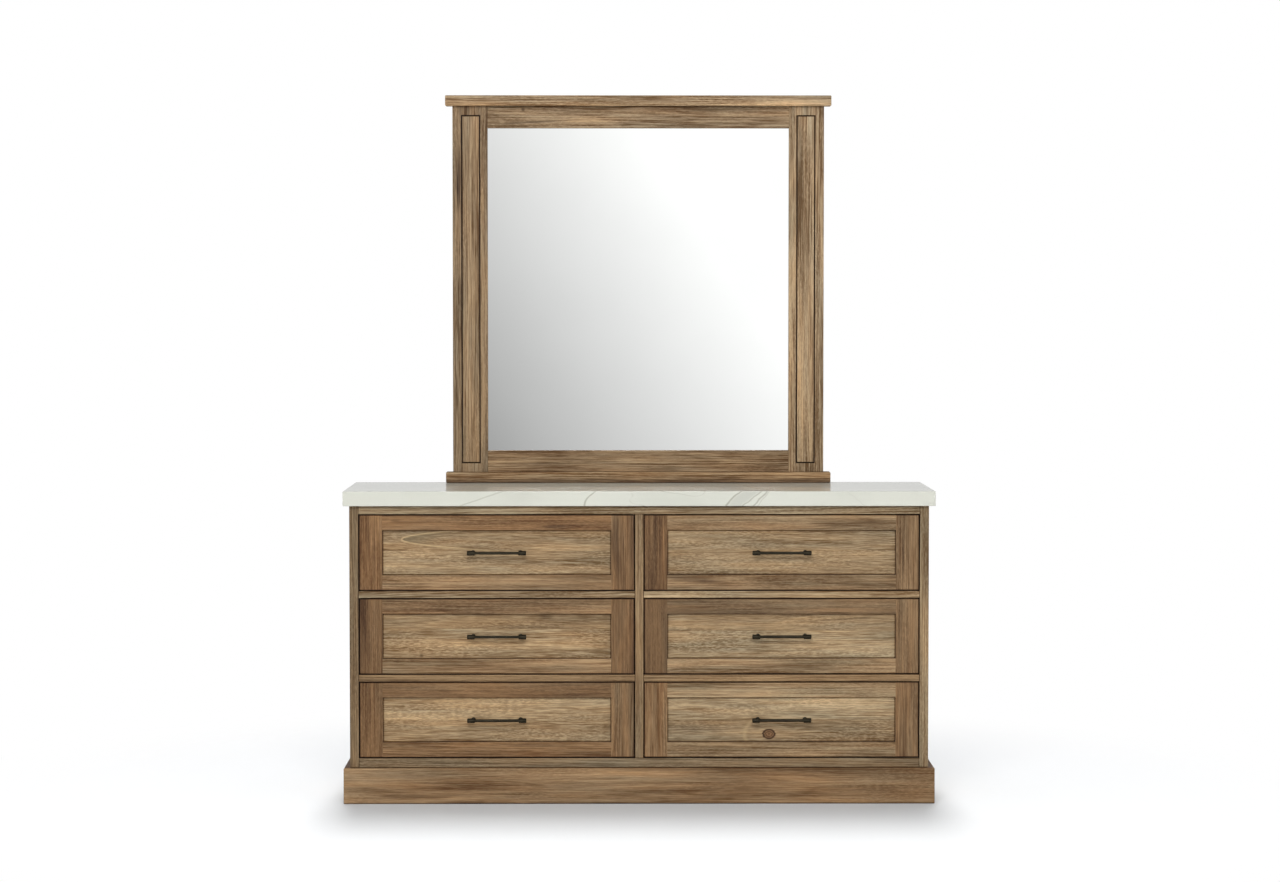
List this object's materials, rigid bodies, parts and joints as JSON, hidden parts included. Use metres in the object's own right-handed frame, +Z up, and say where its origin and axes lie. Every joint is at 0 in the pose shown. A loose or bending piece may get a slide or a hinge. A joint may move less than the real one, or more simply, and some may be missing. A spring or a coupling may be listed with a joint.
{
  "type": "dresser with mirror",
  "caption": "Wide wooden chest of drawers with a stone top and a framed mirror standing on its back edge; the drawers slide out on centre guides.",
  "frame": {"origin": "on the floor, under the middle of the object's outer box", "axes": "+Z up; front towards -Y, so drawers open along -Y; +X to the right as seen from the front"},
  "size_m": [1.6, 0.4752, 1.9362],
  "materials": {
    "body_wood": "weathered grey-brown stain, matt lacquer",
    "plinth_wood": "warm brown stain, matt lacquer",
    "front_frame_wood": "reddish brown stain, matt lacquer",
    "front_panel_wood": "light tan stain, matt lacquer, open grain",
    "mirror_wood": "weathered brown stain, matt lacquer",
    "box_wood": "pale, clear sealed",
    "hidden_wood": "pale, unfinished",
    "backing_board": "brown fibreboard, matt",
    "stone": "polished, pale grey-white with faint veins",
    "mirror_glass": "silvered glass",
    "handle_metal": "dark bronze-black, satin"
  },
  "bodies": {
    "carcass": {"plinth_front": "plinth_wood", "plinth_left": "plinth_wood", "plinth_right": "plinth_wood", "plinth_back": "hidden_wood", "centre_bearer": "hidden_wood", "side_panel_left": "body_wood", "side_panel_right": "body_wood", "centre_divider": "body_wood", "top_rail": "body_wood", "bottom_rail": "body_wood", "rail_under_middle_left": "body_wood", "rail_under_middle_right": "body_wood", "rail_under_upper_left": "body_wood", "rail_under_upper_right": "body_wood", "bottom_panel": "hidden_wood", "back_panel": "backing_board", "back_stretcher": "hidden_wood", "guide_lower_left": "hidden_wood", "guide_lower_right": "hidden_wood", "guide_middle_left": "hidden_wood", "guide_middle_right": "hidden_wood", "guide_upper_left": "hidden_wood", "guide_upper_right": "hidden_wood", "stone_top": "stone", "mirror_base": "mirror_wood", "mirror_cap": "mirror_wood", "mirror_stile_left": "mirror_wood", "mirror_stile_right": "mirror_wood", "mirror_top_rail": "mirror_wood", "mirror_bottom_rail": "mirror_wood", "mirror_inlay_left": "mirror_wood", "mirror_inlay_right": "mirror_wood", "mirror_glass": "mirror_glass", "mirror_backing": "backing_board", "mirror_support_left": "hidden_wood", "mirror_support_right": "hidden_wood"},
    "drawer_lower_left": {"drawer_lower_left_frame": "front_frame_wood", "drawer_lower_left_panel": "front_panel_wood", "drawer_lower_left_box": "box_wood", "drawer_lower_left_handle": "handle_metal"},
    "drawer_middle_left": {"drawer_middle_left_frame": "front_frame_wood", "drawer_middle_left_panel": "front_panel_wood", "drawer_middle_left_box": "box_wood", "drawer_middle_left_handle": "handle_metal"},
    "drawer_upper_left": {"drawer_upper_left_frame": "front_frame_wood", "drawer_upper_left_panel": "front_panel_wood", "drawer_upper_left_box": "box_wood", "drawer_upper_left_handle": "handle_metal"},
    "drawer_lower_right": {"drawer_lower_right_frame": "front_frame_wood", "drawer_lower_right_panel": "front_panel_wood", "drawer_lower_right_box": "box_wood", "drawer_lower_right_handle": "handle_metal"},
    "drawer_middle_right": {"drawer_middle_right_frame": "front_frame_wood", "drawer_middle_right_panel": "front_panel_wood", "drawer_middle_right_box": "box_wood", "drawer_middle_right_handle": "handle_metal"},
    "drawer_upper_right": {"drawer_upper_right_frame": "front_frame_wood", "drawer_upper_right_panel": "front_panel_wood", "drawer_upper_right_box": "box_wood", "drawer_upper_right_handle": "handle_metal"}
  },
  "joints": [
    {"name": "drawer_lower_left_slide", "type": "slide", "parent": "carcass", "child": "drawer_lower_left", "axis": [0, -1, 0], "range_m": [0, 0.3]},
    {"name": "drawer_middle_left_slide", "type": "slide", "parent": "carcass", "child": "drawer_middle_left", "axis": [0, -1, 0], "range_m": [0, 0.3]},
    {"name": "drawer_upper_left_slide", "type": "slide", "parent": "carcass", "child": "drawer_upper_left", "axis": [0, -1, 0], "range_m": [0, 0.3]},
    {"name": "drawer_lower_right_slide", "type": "slide", "parent": "carcass", "child": "drawer_lower_right", "axis": [0, -1, 0], "range_m": [0, 0.3]},
    {"name": "drawer_middle_right_slide", "type": "slide", "parent": "carcass", "child": "drawer_middle_right", "axis": [0, -1, 0], "range_m": [0, 0.3]},
    {"name": "drawer_upper_right_slide", "type": "slide", "parent": "carcass", "child": "drawer_upper_right", "axis": [0, -1, 0], "range_m": [0, 0.3]}
  ]
}
